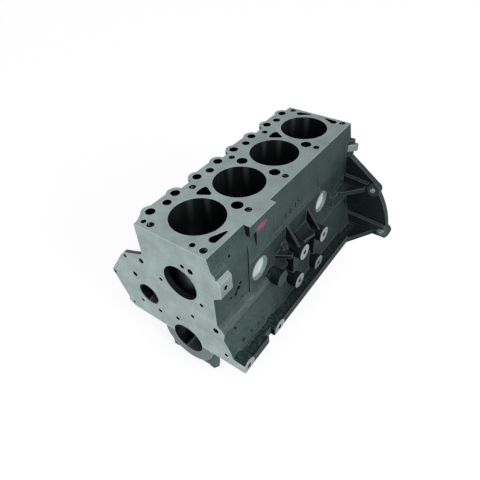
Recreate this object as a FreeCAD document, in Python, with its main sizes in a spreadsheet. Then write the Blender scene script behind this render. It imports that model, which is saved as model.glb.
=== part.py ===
import FreeCAD, Part
import math
import os

import Sketcher
from FreeCAD import Placement, Rotation, Vector

# Inline four-cylinder engine block with its main bearing caps.
# Frame: X to the right seen from the front, Y rearward, Z up.
# The origin is the crankshaft axis at the front face.

os.makedirs("parts", exist_ok=True)
doc = FreeCAD.newDocument("engine_block")

# Driving dimensions in millimetres
DIMENSIONS = {
    "block_length": 469.0,
    "deck_level": 244.0,
    "deck_half_width": 72.0,
    "cylinder_count": 4.0,
    "bore_pitch": 111.6,
    "first_bore": 68.6,
    "bore_radius": 46.85,
    "bore_foot": 86.0,
    "barrel_wall": 5.0,
    "jacket_roof": 16.0,
    "jacket_floor": 112.0,
    "jacket_right": 62.0,
    "jacket_left": 55.5,
    "jacket_end": 11.0,
    "crank_radius": 33.6,
    "crankcase_radius": 107.0,
    "crankcase_wall": 8.0,
    "web_half": 12.5,
    "end_web": 33.0,
    "cam_across": 83.0,
    "cam_level": 71.3,
    "cam_radius": 23.45,
    "cam_chamber": 28.0,
    "cam_cover": 36.0,
    "bush_wall": 1.9,
    "fit_gap": 0.05,
    "wall_front": 77.0,
    "wall_rear": 80.5,
    "wall_change": 90.0,
    "ledge_level": 162.0,
    "ledge_end": 335.0,
    "knee_level": 94.0,
    "knee_drop": 14.0,
    "knee_out": 91.0,
    "tappet_wall": 94.0,
    "tappet_top": 198.0,
    "tappet_foot": 105.0,
    "tappet_end": 20.0,
    "rail_half": 129.0,
    "rail_thickness": 18.0,
    "rail_rear": 397.0,
    "rail_boss_proud": 0.6,
    "rail_bolt_radius": 4.2,
    "rail_bolt_first": 30.0,
    "rail_bolt_step": 70.0,
    "rail_bolt_depth": 15.0,
    "front_plate": 14.0,
    "flange_radius": 194.5,
    "flange_thickness": 14.0,
    "flange_bolt_circle": 187.5,
    "flange_bolt_radius": 5.5,
    "flange_ear": 14.5,
    "ear_proud": 3.0,
    "ear_spot_radius": 11.0,
    "upper_ear_angle": 37.9,
    "lower_ear_angle": 5.2,
    "head_bolt_across": 57.7,
    "head_bolt_first": 12.8,
    "head_bolt_radius": 6.5,
    "head_bolt_depth": 62.0,
    "bolt_column": 10.5,
    "pushrod_across": 71.3,
    "pushrod_radius": 8.6,
    "pushrod_half_gap": 29.6,
    "lobe_radius": 16.0,
    "lifter_radius": 10.5,
    "lifter_top": 120.0,
    "drain_across": 65.0,
    "drain_radius": 7.8,
    "water_across": 36.0,
    "water_radius": 10.5,
    "pump_across": 8.2,
    "pump_level": 156.5,
    "pump_radius": 34.8,
    "plug_radius": 23.0,
    "plug_level": 130.0,
    "plug_first": 119.0,
    "plug_recess": 6.0,
    "plug_depth": 9.0,
    "plug_sheet": 2.5,
    "mount_boss_radius": 15.5,
    "mount_boss_face": 118.0,
    "mount_hole_radius": 5.0,
    "mount_hole_depth": 20.0,
    "cap_half": 55.5,
    "cap_height": 58.0,
    "cap_thickness": 20.0,
    "cap_front_depth": 23.0,
    "cap_hub_radius": 45.0,
    "cap_shoulder": 10.0,
    "cap_nose_radius": 55.5,
    "cap_nose": 4.5,
    "cap_bolt_across": 45.5,
    "cap_bolt_radius": 6.0,
    "cap_bolt_grip": 48.0,
    "cap_bolt_head": 9.5,
    "cap_bolt_flats": 18.0,
    "bolt_clearance": 0.5,
    "gallery_across": 73.0,
    "gallery_level": 79.4,
    "gallery_radius": 5.0,
    "gallery_plug_radius": 8.0,
}


class Size:
    """A number with the sheet expression that gives it."""

    def __init__(self, number, text):
        self.number = number
        self.text = text

    def join(self, sign, other, number):
        return Size(number, "(" + self.text + sign + other.text + ")")

    def __add__(self, other):
        other = size(other)
        return self.join(" + ", other, self.number + other.number)

    def __sub__(self, other):
        other = size(other)
        return self.join(" - ", other, self.number - other.number)

    def __mul__(self, other):
        other = size(other)
        return self.join(" * ", other, self.number * other.number)

    def __truediv__(self, other):
        other = size(other)
        return self.join(" / ", other, self.number / other.number)

    def __radd__(self, other):
        return size(other) + self

    def __rsub__(self, other):
        return size(other) - self

    def __rmul__(self, other):
        return size(other) * self

    def __neg__(self):
        return Size(-self.number, "(0 - " + self.text + ")")


def size(value):
    """Wrap a plain number, so that it joins the sheet's sizes."""
    if isinstance(value, Size):
        return value
    return Size(float(value), repr(float(value)))


def arc_tangent(rise, run):
    """The angle in degrees whose tangent is rise over run."""
    ratio = rise / run
    return Size(math.degrees(math.atan(ratio.number)), "atan(" + ratio.text + ")")


def sine(angle):
    return Size(math.sin(math.radians(angle.number)), "sin(" + angle.text + " * 1 deg)")


def cosine(angle):
    return Size(math.cos(math.radians(angle.number)), "cos(" + angle.text + " * 1 deg)")


sheet = doc.addObject("Spreadsheet::Sheet", "Dims")
for row, (word, number) in enumerate(DIMENSIONS.items(), start=1):
    sheet.set("A%d" % row, word)
    sheet.set("B%d" % row, str(number))
    sheet.setAlias("B%d" % row, word)
doc.recompute()


class Sheet:
    """Reads a cell as a Size by its alias."""

    def __getattr__(self, word):
        return Size(float(sheet.get(word)), "Dims." + word)


d = Sheet()
count = int(d.cylinder_count.number)
TURN = {
    "x": Rotation(Vector(0, 1, 0), 90),
    "y": Rotation(Vector(1, 0, 0), -90),
    "z": Rotation(),
}


def bind(thing, path, value):
    """Tie a property to the sheet."""
    thing.setExpression(path, size(value).text)


def place(thing, x, y, z, turn=Rotation()):
    """Put a feature at a bound position."""
    thing.Placement = Placement(Vector(size(x).number, size(y).number, size(z).number), turn)
    bind(thing, "Placement.Base.x", x)
    bind(thing, "Placement.Base.y", y)
    bind(thing, "Placement.Base.z", z)


def slab(name, x, y, z):
    """A box between two bounds on each axis."""
    thing = doc.addObject("Part::Box", name)
    for path, (low, high) in (("Length", x), ("Width", y), ("Height", z)):
        bind(thing, path, size(high) - size(low))
    place(thing, x[0], y[0], z[0])
    return thing


def rod(name, axis, radius, centre, span):
    """A cylinder along an axis; centre gives the other two coordinates in order."""
    thing = doc.addObject("Part::Cylinder", name)
    bind(thing, "Radius", radius)
    bind(thing, "Height", size(span[1]) - size(span[0]))
    one, two = centre
    spot = {"x": (span[0], one, two), "y": (one, span[0], two), "z": (one, two, span[0])}[axis]
    place(thing, *spot, turn=TURN[axis])
    return thing


def trace(sketch, corners):
    """Draw a closed straight-sided outline with every corner tied to the sheet."""
    corners = [(size(a), size(b)) for a, b in corners]
    spots = [Vector(a.number, b.number, 0) for a, b in corners]
    total = len(spots)
    for index in range(total):
        sketch.addGeometry(Part.LineSegment(spots[index], spots[(index + 1) % total]), False)
    for index in range(total):
        sketch.addConstraint(Sketcher.Constraint("Coincident", index, 2, (index + 1) % total, 1))
    for index, (a, b) in enumerate(corners):
        for kind, value in (("DistanceX", a), ("DistanceY", b)):
            place_in = sketch.addConstraint(Sketcher.Constraint(kind, -1, 1, index, 1, value.number))
            sketch.setExpression("Constraints[%d]" % place_in, value.text)


def prism(name, axis, corners, span):
    """Extrude an outline along an axis; y outlines hold (x, z) pairs, z outlines (x, y)."""
    sketch = doc.addObject("Sketcher::SketchObject", name + "_outline")
    turn = {"y": Rotation(Vector(1, 0, 0), 90), "z": Rotation()}[axis]
    trace(sketch, corners)
    place(sketch, *{"y": (0, span[0], 0), "z": (0, 0, span[0])}[axis], turn=turn)
    thing = doc.addObject("Part::Extrusion", name)
    thing.Base = sketch
    thing.DirMode = "Custom"
    thing.Dir = {"y": Vector(0, 1, 0), "z": Vector(0, 0, 1)}[axis]
    thing.Solid = True
    bind(thing, "LengthFwd", size(span[1]) - size(span[0]))
    return thing


def fuse(name, pieces):
    thing = doc.addObject("Part::MultiFuse", name)
    thing.Shapes = pieces
    thing.Refine = True
    return thing


def cut(name, base, tool):
    thing = doc.addObject("Part::Cut", name)
    thing.Base = base
    thing.Tool = tool
    thing.Refine = True
    return thing


def body_with_sketch(name, role):
    """A body with one sketch on an origin plane."""
    body = doc.addObject("PartDesign::Body", name)
    sketch = body.newObject("Sketcher::SketchObject", name + "_sketch")
    plane = [item for item in body.Origin.OriginFeatures if item.Role == role][0]
    sketch.AttachmentSupport = (plane, [""])
    sketch.MapMode = "FlatFace"
    return body, sketch


def turned(name, half_section):
    """Revolve a half section of (radius, height) pairs about the body's Z axis."""
    body, sketch = body_with_sketch(name, "XZ_Plane")
    trace(sketch, half_section)
    spin = body.newObject("PartDesign::Revolution", name + "_turning")
    spin.Profile = sketch
    spin.ReferenceAxis = (sketch, ["V_Axis"])
    spin.Angle = 360
    return body


# Where the cylinders, the webs between them and the bearings lie along the block
bores = [d.first_bore + d.bore_pitch * index for index in range(count)]
bolt_rows = [d.head_bolt_first + d.bore_pitch * index for index in range(count + 1)]
webs = [(size(0), d.end_web)]
webs += [(middle - d.web_half, middle + d.web_half) for middle in bolt_rows[1:-1]]
webs += [(d.block_length - d.end_web, d.block_length)]
bays = [(webs[index][1], webs[index + 1][0]) for index in range(count)]
length = (size(0), d.block_length)


def pushrod_places():
    """Two pushrod holes for each cylinder, the pairs set alternately forward and back."""
    shift = [-2.8, 1.4, -1.6, 2.4]
    places = []
    for index, middle in enumerate(bores):
        centre = middle + shift[index % len(shift)]
        places += [centre - d.pushrod_half_gap, centre + d.pushrod_half_gap]
    return places


pushrods = pushrod_places()


def casting_walls():
    """The outer walls from deck to crankcase, as one section along the block."""
    half = d.deck_half_width
    knee_foot = d.knee_level - d.knee_drop
    front = prism("wall_section", "y", [
        (half, d.deck_level),
        (half, d.deck_level - 2),
        (d.wall_front, d.deck_level - 34),
        (d.wall_front, d.knee_level),
        (d.knee_out, knee_foot),
        (d.knee_out - 4, knee_foot - 17),
        (d.knee_out - 4, 0),
        (-d.knee_out, 0),
        (-d.tappet_wall, d.tappet_foot),
        (-d.tappet_wall, d.tappet_top - 8),
        (-half, d.tappet_top + 6),
        (-half, d.deck_level),
    ], length)
    rear = prism("rear_wall", "y", [
        (0, d.knee_level),
        (d.wall_rear, d.knee_level),
        (d.wall_rear, d.ledge_level - 1),
        (d.wall_rear + 1, d.ledge_level + 1),
        (d.wall_front - 2, d.ledge_level + 9),
        (0, d.ledge_level + 9),
    ], (d.wall_change, d.ledge_end))
    last = prism("last_wall", "y", [
        (0, d.knee_level),
        (d.wall_rear, d.knee_level),
        (d.wall_rear, d.knee_level + 43),
        (d.wall_front - 1, d.ledge_level + 9),
        (0, d.ledge_level + 9),
    ], (d.ledge_end, d.block_length))
    swell = prism("rear_swell", "z", [
        (0, d.ledge_end + 50),
        (d.wall_rear + 2, d.ledge_end + 50),
        (d.wall_rear + 6, d.ledge_end + 55),
        (d.wall_rear + 8, d.ledge_end + 66),
        (d.wall_rear + 8, d.block_length),
        (0, d.block_length),
    ], (d.knee_level - d.knee_drop, d.knee_level + 19))
    crankcase = rod("crankcase", "y", d.crankcase_radius, (0, 0), length)
    cam_cover = rod("cam_cover", "y", d.cam_cover, (-d.cam_across, d.cam_level), length)
    return [front, rear, last, swell, crankcase, cam_cover]


def deck_edges():
    """Scalloped lobes round the pushrods, and the step on the right of the deck."""
    pieces = []
    for index, middle in enumerate(pushrods):
        pieces.append(rod("pushrod_lobe_%d" % (index + 1), "z", d.lobe_radius,
                          (-d.pushrod_across, middle), (d.tappet_top - 10, d.deck_level)))
    for index in range(0, len(pushrods), 2):
        pieces.append(slab("pushrod_saddle_%d" % (index // 2 + 1),
                           (-d.pushrod_across - 11.2, -d.pushrod_across + 11),
                           (pushrods[index], pushrods[index + 1]),
                           (d.tappet_top - 10, d.deck_level)))
    pieces.append(prism("front_lobe_flank", "z", [
        (-60, 4), (-d.deck_half_width, 6), (-74.7, 12.7), (-86, 31), (-80, 38), (-60, 38),
    ], (d.tappet_top - 10, d.deck_level)))
    step = d.deck_half_width + 12
    pieces.append(slab("deck_step", (0, step), (90.5, 164), (d.deck_level - 21, d.deck_level)))
    pieces.append(prism("deck_step_foot", "y", [
        (0, d.deck_level - 20),
        (step, d.deck_level - 20),
        (step, d.deck_level - 50),
        (d.wall_rear, d.deck_level - 58),
        (0, d.deck_level - 58),
    ], (109, 164)))
    pieces.append(prism("deck_step_cheek", "y", [
        (0, d.deck_level - 32),
        (d.wall_front, d.deck_level - 32),
        (d.wall_rear, d.deck_level - 50),
        (d.wall_rear, d.ledge_level),
        (0, d.ledge_level),
    ], (d.wall_change, 160)))
    return pieces


def pan_rails():
    """The sump rails, the right one flaring out to the rear flange."""
    right = slab("rail_right", (d.crankcase_radius - 14, d.rail_half), (0, d.rail_rear),
                 (0, d.rail_thickness))
    left = slab("rail_left", (-d.rail_half, -d.crankcase_radius + 14), length, (0, d.rail_thickness))
    flare = prism("rail_flare", "z", [
        (d.crankcase_radius - 14, d.rail_rear - 14),
        (d.rail_half, d.rail_rear - 1),
        (d.rail_half + 37, d.block_length - d.flange_thickness + 1),
        (d.crankcase_radius - 14, d.block_length - d.flange_thickness + 1),
    ], (0, d.rail_thickness - 7))
    return [right, left, flare]


def front_flange():
    """The timing-case flange: a flat plate that reaches far out on the left."""
    plate = prism("front_plate", "y", [
        (d.deck_half_width, d.deck_level),
        (76.5, 226),
        (77.8, 219.5),
        (84.2, 215.4),
        (85.3, 206),
        (d.wall_front, 160),
        (d.wall_front, d.knee_level),
        (86, 87),
        (91.4, 80),
        (88, 64),
        (95, 45),
        (105, 22),
        (127.6, d.rail_thickness),
        (d.rail_half, 0),
        (-137, 0),
        (-143, 2),
        (-154, 11),
        (-150, 21),
        (-160, 42),
        (-170, 67),
        (-177, 84),
        (-131.5, 148),
        (-122.5, 157),
        (-76, 175),
        (-d.deck_half_width, 180),
        (-d.deck_half_width, d.deck_level),
    ], (0, d.front_plate))
    pad = prism("front_pad", "y", [
        (d.deck_half_width - 10, 158),
        (d.wall_front, 161),
        (92.5, 172),
        (92.5, 200.5),
        (86, 206.5),
        (84.2, 215.4),
        (77.8, 219.5),
        (d.deck_half_width - 10, 221),
    ], (0, 29))
    return [plate, pad]


def ear_places():
    """Bolt ears of the rear flange on both sides, as (x, z)."""
    spots = []
    for angle in (d.upper_ear_angle, d.lower_ear_angle):
        across = d.flange_bolt_circle * cosine(angle)
        up = d.flange_bolt_circle * sine(angle)
        spots += [(across, up), (-across, up)]
    return spots


def rear_flange():
    """The bell-housing flange: a ring-shaped rim with ears, ribbed to the walls."""
    start = d.block_length - d.flange_thickness
    disc = rod("flange_disc", "y", d.flange_radius, (0, 0), (start, d.block_length))
    mask = prism("flange_mask", "y", [
        (210, -5), (210, 80), (162, 124), (87, 177), (87, 200),
        (-87, 200), (-87, 177), (-162, 124), (-210, 80), (-210, -5),
    ], (start, d.block_length))
    plate = doc.addObject("Part::MultiCommon", "flange_plate")
    plate.Shapes = [disc, mask]
    pieces = [plate]
    for index, (across, up) in enumerate(ear_places()):
        pieces.append(rod("flange_ear_%d" % (index + 1), "y", d.flange_ear, (across, up),
                          (start - d.ear_proud, d.block_length)))
    pieces.append(prism("rear_corner_boss_upper", "z", [
        (d.deck_half_width - 4, start - 6), (d.wall_front + 1, start - 6), (87, start + 8),
        (87, d.block_length), (d.deck_half_width - 4, d.block_length),
    ], (177, 213)))
    pieces.append(prism("rear_corner_boss_lower", "z", [
        (d.deck_half_width - 4, start - 4), (d.wall_front + 2, start - 4), (95, start + 10),
        (95, d.block_length), (d.deck_half_width - 4, d.block_length),
    ], (189, 204)))
    for side, sign in (("right", 1), ("left", -1)):
        pieces.append(prism("flange_top_" + side, "y", [
            (sign * 70, 177), (sign * 87, 177), (sign * 160.5, 123.5), (sign * 140, 100), (sign * 70, 100),
        ], (start, d.block_length)))
        pieces.append(prism("flange_rib_upper_" + side, "y", [
            (sign * 70, 120), (sign * 128, 117), (sign * 136, 130), (sign * 70, 135.5),
        ], (start - 8, start + 1)))
        pieces.append(prism("flange_rib_lower_" + side, "y", [
            (sign * 90, 24), (sign * 188, 19.5), (sign * 190, 34), (sign * 90, 41),
        ], (start - 8, start + 1)))
        pieces.append(prism("flange_gusset_" + side, "z", [
            (sign * 70, start - 48), (sign * 84, start - 48), (sign * 93, start - 46),
            (sign * 130, start - 4), (sign * 130, start + 1), (sign * 70, start + 1),
        ], (106, 115)))
    return pieces


# Machined bosses on the right side: name, Y and Z of the axis, X of the face
MOUNT_BOSSES = (
    ("upper_front", 213, 111, 0),
    ("lower_front", 201, 45, 0),
    ("upper_rear", 291, 97, 0),
    ("lower_rear", 280, 28, 0),
)
RAIL_BOSSES = (("rail_middle", 111, 8), ("rail_front", 12, 11))


def side_bosses():
    """Mount bosses, their gussets and the webs between them."""
    pieces = []
    for name, along, up, out in MOUNT_BOSSES:
        pieces.append(rod("boss_" + name, "x", d.mount_boss_radius, (along, up),
                          (60, d.mount_boss_face + out)))
    for name, along, up in RAIL_BOSSES:
        pieces.append(rod("boss_" + name, "x", d.mount_boss_radius, (along, up),
                          (60, d.rail_half + d.rail_boss_proud)))
    pieces.append(rod("boss_plain", "x", d.mount_boss_radius, (153.4, 86.5),
                      (60, d.mount_boss_face - 10)))
    for name, along, top, foot in (("front", 206, 163, 126), ("rear", 284, 149, 112)):
        pieces.append(prism("gusset_" + name, "y", [
            (d.wall_rear - 8, top), (d.wall_rear + 3, top), (d.wall_rear + 30, foot),
            (d.wall_rear - 8, foot),
        ], (along - 2.5, along + 2.5)))
    for name, along, low, high in (("front", 207.5, 45, 111), ("rear", 289, 28, 97)):
        pieces.append(slab("boss_web_" + name, (60, 104), (along - 8.5, along + 8.5), (low, high)))
    pieces.append(prism("boss_shelf", "z", [
        (d.wall_rear - 8, 240), (d.wall_rear, 240), (93, 230), (107, 227), (114, 257), (108, 264),
        (d.wall_rear, 268), (d.wall_rear - 8, 268),
    ], (117, 122)))
    pieces.append(prism("boss_wing_front", "z", [
        (d.wall_rear - 8, 166), (d.wall_rear, 168), (108, 184), (106, 191), (94, 193),
        (d.wall_rear, 188), (d.wall_rear - 8, 188),
    ], (112, 120)))
    for name, along, level in (("front", 188, 120), ("rear", 268, 112)):
        pieces.append(prism("boss_brace_" + name, "y", [
            (d.wall_rear - 8, level + 11), (d.wall_rear + 1, level + 11), (d.wall_rear + 11, level - 4),
            (d.wall_rear - 8, level - 4),
        ], (along, along + 16)))
    return pieces


def core_casting():
    """Everything that is poured, before any machining."""
    pieces = casting_walls() + deck_edges() + pan_rails() + front_flange() + rear_flange()
    return fuse("raw_casting", pieces + side_bosses())


def water_jacket():
    """The coolant space round the barrels, with a column left for each head bolt."""
    roof = d.deck_level - d.jacket_roof
    space = slab("jacket_space", (-d.jacket_left, d.jacket_right),
                 (d.jacket_end, d.block_length - d.jacket_end), (d.jacket_floor, roof))
    solid = []
    for index, middle in enumerate(bores):
        solid.append(rod("barrel_%d" % (index + 1), "z", d.bore_radius + d.barrel_wall, (0, middle),
                         (d.jacket_floor - 1, roof + 1)))
    for index, row in enumerate(bolt_rows):
        for side, sign in (("right", 1), ("left", -1)):
            solid.append(rod("bolt_column_%d_%s" % (index + 1, side), "z", d.bolt_column,
                             (sign * d.head_bolt_across, row), (d.jacket_floor - 1, roof + 1)))
    return cut("water_jacket", space, fuse("jacket_solids", solid))


def cylinder_cuts():
    cuts = []
    for index, middle in enumerate(bores):
        cuts.append(rod("bore_%d" % (index + 1), "z", d.bore_radius, (0, middle),
                        (d.bore_foot, d.deck_level + 1)))
    return cuts


def crankcase_cuts():
    """Bays between the webs, the main bearing line and the camshaft line."""
    inner = d.crankcase_radius - d.crankcase_wall
    half = math.tan(math.radians(22.5))
    chamber = [(-half, 1), (half, 1), (1, half), (1, -half), (half, -1), (-half, -1), (-1, -half), (-1, half)]
    cuts = []
    for index, (start, end) in enumerate(bays):
        cuts.append(rod("bay_%d" % (index + 1), "y", inner, (0, 0), (start, end)))
        cuts.append(prism("cam_chamber_%d" % (index + 1), "y", [
            (edge * d.cam_chamber - d.cam_across, rise * d.cam_chamber + d.cam_level)
            for edge, rise in chamber
        ], (start, end)))
    cuts.append(rod("crank_line", "y", d.crank_radius, (0, 0), (-1, d.block_length + 1)))
    cuts.append(rod("cam_line", "y", d.cam_radius + d.fit_gap, (-d.cam_across, d.cam_level),
                    (-1, d.block_length + 1)))
    for index, row in enumerate(cap_rows()):
        for side, sign in (("right", 1), ("left", -1)):
            cuts.append(rod("cap_thread_%d_%s" % (index + 1, side), "z",
                            d.cap_bolt_radius + d.fit_gap, (sign * d.cap_bolt_across, row),
                            (-1, d.cap_bolt_grip + 2)))
    for side, sign in (("right", 1), ("left", -1)):
        low = sign * (d.cap_half + 0.5)
        high = low + sign * 2
        cuts.append(slab("seat_relief_" + side, (low, high) if sign > 0 else (high, low),
                         (-1, d.block_length + 1), (-1, 1.2)))
    return cuts


def cap_rows():
    """The bolt line of each main bearing along the block."""
    front = d.cap_front_depth / 2 + 3
    return [front] + bolt_rows[1:-1] + [d.block_length - d.end_web / 2]


def tappet_cuts():
    """Lifter bores above the camshaft, the gallery over them and the pushrod holes to the deck."""
    inner = -d.cam_across + d.lifter_radius + 0.5
    cuts = [slab("tappet_gallery", (-d.tappet_wall + 6, inner),
                 (d.tappet_end, d.block_length - d.tappet_end),
                 (d.lifter_top, d.tappet_top - 14))]
    for index, middle in enumerate(pushrods):
        cuts.append(rod("lifter_%d" % (index + 1), "z", d.lifter_radius, (-d.cam_across, middle),
                        (d.cam_level, d.lifter_top + 1)))
        cuts.append(rod("pushrod_%d" % (index + 1), "z", d.pushrod_radius, (-d.pushrod_across, middle),
                        (d.tappet_top - 15, d.deck_level + 1)))
    return cuts


# Plain round holes in the deck: X, Y, radius, depth
DECK_HOLES = (
    (-62.6, 12.7, 4.6, 20),
    (36.4, 12.9, 5.0, 20),
)
# Holes in the front face: X, Z, radius
FRONT_HOLES = (
    (-122, 148, 4.0), (-170.5, 81.4, 4.0), (-79, 159, 5.5), (-107.5, 110.5, 5.5), (-38, 138, 4.0),
    (20.6, 201.7, 4.0), (36.2, 198.9, 5.5), (48.9, 128.4, 4.0), (23, 81.5, 4.0), (-17, 47.5, 4.6),
    (90, 22.5, 4.0), (-107, 39, 4.0), (-138.8, 12.5, 3.4), (-62.4, 37.4, 4.5),
)


def teardrop(name, big, tip, radius):
    """A coolant slot that narrows from a round end to a small tip."""
    small = radius / 3
    run = Vector(tip[0] - big[0], tip[1] - big[1], 0)
    side = Vector(-run.y, run.x, 0).normalize()
    floor = d.deck_level - d.jacket_roof - 1
    corners = []
    for spot, reach in ((big, radius), (tip, small), (tip, -small), (big, -radius)):
        corners.append((spot[0] + side.x * reach, spot[1] + side.y * reach))
    span = (floor, d.deck_level + 1)
    return [
        prism(name + "_flank", "z", corners, span),
        rod(name + "_head", "z", radius, big, span),
        rod(name + "_tip", "z", small, tip, span),
    ]


def deck_cuts():
    """Head bolt threads, coolant openings and oil returns in the deck."""
    top = d.deck_level + 1
    cuts = []
    for index, row in enumerate(bolt_rows):
        for side, sign in (("right", 1), ("left", -1)):
            across = sign * d.head_bolt_across
            if index == 0 and sign < 0:
                across = across + 9.9
            cuts.append(rod("head_bolt_%d_%s" % (index + 1, side), "z", d.head_bolt_radius,
                            (across, row), (d.deck_level - d.head_bolt_depth, top)))
    for index, row in enumerate(bolt_rows[1:-1]):
        floor = d.deck_level - d.jacket_roof - 1
        cuts.append(rod("water_right_%d" % (index + 1), "z", d.water_radius,
                        (d.water_across, row), (floor, top)))
        if index == 1:
            cuts.append(rod("water_left_%d" % (index + 1), "z", d.water_radius,
                            (-d.water_across + 2, row), (floor, top)))
        else:
            near = [(-43, 0), (-42.2, 8.5), (-40.3, 12), (-37.8, 13), (-35, 12.6), (-18.6, 3), (-17.2, 0)]
            corners = [(across, row + half) for across, half in near]
            corners += [(across, row - half) for across, half in reversed(near[1:-1])]
            cuts.append(prism("water_left_%d" % (index + 1), "z", corners, (floor, top)))
    for index, middle in enumerate(bores):
        cuts.append(rod("oil_return_%d" % (index + 1), "z", d.drain_radius,
                        (-d.drain_across, middle), (d.deck_level - 60, top)))
    for index, (across, along, radius, depth) in enumerate(DECK_HOLES):
        cuts.append(rod("deck_hole_%d" % (index + 1), "z", radius, (across, along),
                        (d.deck_level - depth, top)))
    cuts += teardrop("slot_front_right", (55, 39), (60.5, 63), 7.5)
    cuts += teardrop("slot_rear_right", (39.5, 455), (19, 460.5), 7)
    cuts += teardrop("slot_rear_left", (-38, 453.5), (-17.5, 461.5), 7)
    return cuts


def front_cuts():
    """Tapped holes of the timing case and the coolant pump opening."""
    cuts = []
    for index, (across, up, radius) in enumerate(FRONT_HOLES):
        cuts.append(rod("front_hole_%d" % (index + 1), "y", radius, (across, up), (-1, 13)))
    cuts.append(rod("gallery_mouth", "y", d.gallery_radius + 1, (d.gallery_across, d.gallery_level),
                    (-1, 12)))
    cuts.append(rod("pump_bore", "y", d.pump_radius, (d.pump_across, d.pump_level),
                    (-1, d.jacket_end + 1)))
    cuts.append(rod("pad_hole", "x", 4.5, (13, 186), (72, 94)))
    cuts.append(rod("wall_dimple", "x", 3, (46, 216), (73, 78)))
    return cuts


def side_cuts():
    """Plug seats in the right wall and the threads of the bosses."""
    cuts = []
    for index, along in enumerate(plug_places()):
        cuts.append(rod("plug_seat_%d" % (index + 1), "x", d.plug_radius + d.fit_gap,
                        (along, d.plug_level), (d.jacket_right - 1, d.wall_rear + 1)))
    for name, along, up, out in MOUNT_BOSSES:
        cuts.append(rod("thread_" + name, "x", d.mount_hole_radius, (along, up),
                        (d.mount_boss_face + out - d.mount_hole_depth, d.mount_boss_face + out + 1)))
    face = d.rail_half + d.rail_boss_proud
    for name, along, up in RAIL_BOSSES:
        cuts.append(rod("thread_" + name, "x", d.mount_hole_radius, (along, up),
                        (face - d.mount_hole_depth, face + 1)))
    cuts.append(slab("rail_notch", (d.rail_half - 8.5, d.rail_half + 1), (75.5, 93.5),
                     (-1, d.rail_thickness + 1)))
    return cuts


def rear_cuts():
    """Flange bolt holes, the oil gallery and the trimmed pan face."""
    cuts = []
    spot = d.block_length - d.flange_thickness - d.ear_proud
    for index, (across, up) in enumerate(ear_places()):
        cuts.append(rod("flange_hole_%d" % (index + 1), "y", d.flange_bolt_radius, (across, up),
                        (spot - 1, d.block_length + 1)))
        cuts.append(rod("flange_spot_%d" % (index + 1), "y", d.ear_spot_radius, (across, up),
                        (spot - 12, spot)))
    main = (d.gallery_across, d.gallery_level)
    cuts.append(rod("gallery", "y", d.gallery_radius, main, (-1, d.block_length + 1)))
    cuts.append(rod("gallery_seat", "y", d.gallery_plug_radius + d.fit_gap, main,
                    (d.block_length - 12, d.block_length + 1)))
    reach = d.flange_radius + 20
    cuts.append(slab("front_face_trim", (-reach, reach), (-reach, 0), (-reach, d.deck_level + 20)))
    cuts.append(slab("pan_face_trim", (-reach, reach), (-20, d.block_length + 20), (-reach, 0)))
    for index in range(6):
        along = d.rail_bolt_first + d.rail_bolt_step * index
        for side, sign in (("right", 1), ("left", -1)):
            cuts.append(rod("rail_bolt_%d_%s" % (index + 1, side), "z", d.rail_bolt_radius,
                            (sign * (d.rail_half - 11), along), (-1, d.rail_bolt_depth)))
    return cuts


def plug_places():
    """The core plugs lie between cylinders 1 and 2 and between 3 and 4."""
    return [d.plug_first, d.plug_first + d.bore_pitch * 2]


def cylinder_block():
    machining = [water_jacket()] + cylinder_cuts() + crankcase_cuts() + tappet_cuts()
    machining += deck_cuts() + front_cuts() + side_cuts() + rear_cuts()
    return cut("cylinder_block", core_casting(), fuse("machining", machining))


def bearing_cap(name, row, nose):
    """A main bearing cap: a bridge with two bolt shoulders and the lower half of the bore."""
    start = size(0) if nose else row - d.cap_thickness / 2
    end = d.cap_front_depth if nose else row + d.cap_thickness / 2
    last = d.end_web if nose else end
    begin = start + nose if nose else start
    half = d.cap_bolt_across if nose else d.cap_half
    bridge = prism(name + "_bridge", "y", [
        (-half, 0),
        (-half, -d.cap_height + 8),
        (-half + 6, -d.cap_height),
        (half - 6, -d.cap_height),
        (half, -d.cap_height + 8),
        (half, 0),
    ], (begin, end))
    stock = bridge
    if nose:
        shoulders = [rod(name + "_shoulder_" + side, "z", d.cap_shoulder,
                         (sign * d.cap_bolt_across, row), (-d.cap_height, 0))
                     for side, sign in (("right", 1), ("left", -1))]
        round_nose = rod(name + "_nose", "y", d.cap_nose_radius, (0, 0), (start, begin + 1))
        hub = rod(name + "_hub", "y", d.cap_hub_radius, (0, 0), (end - 1, last))
        stock = fuse(name + "_stock", [bridge, round_nose, hub] + shoulders)
    cuts = [rod(name + "_journal", "y", d.crank_radius, (0, 0), (start - 1, last + 1))]
    for side, sign in (("right", 1), ("left", -1)):
        cuts.append(rod(name + "_hole_" + side, "z", d.cap_bolt_radius + d.bolt_clearance,
                        (sign * d.cap_bolt_across, row), (-d.cap_height - 1, 1)))
    reach = d.cap_nose_radius + 20
    cuts.append(slab(name + "_joint", (-reach, reach), (start - 2, last + 2), (0, reach)))
    return cut(name, stock, fuse(name + "_cuts", cuts))


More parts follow.
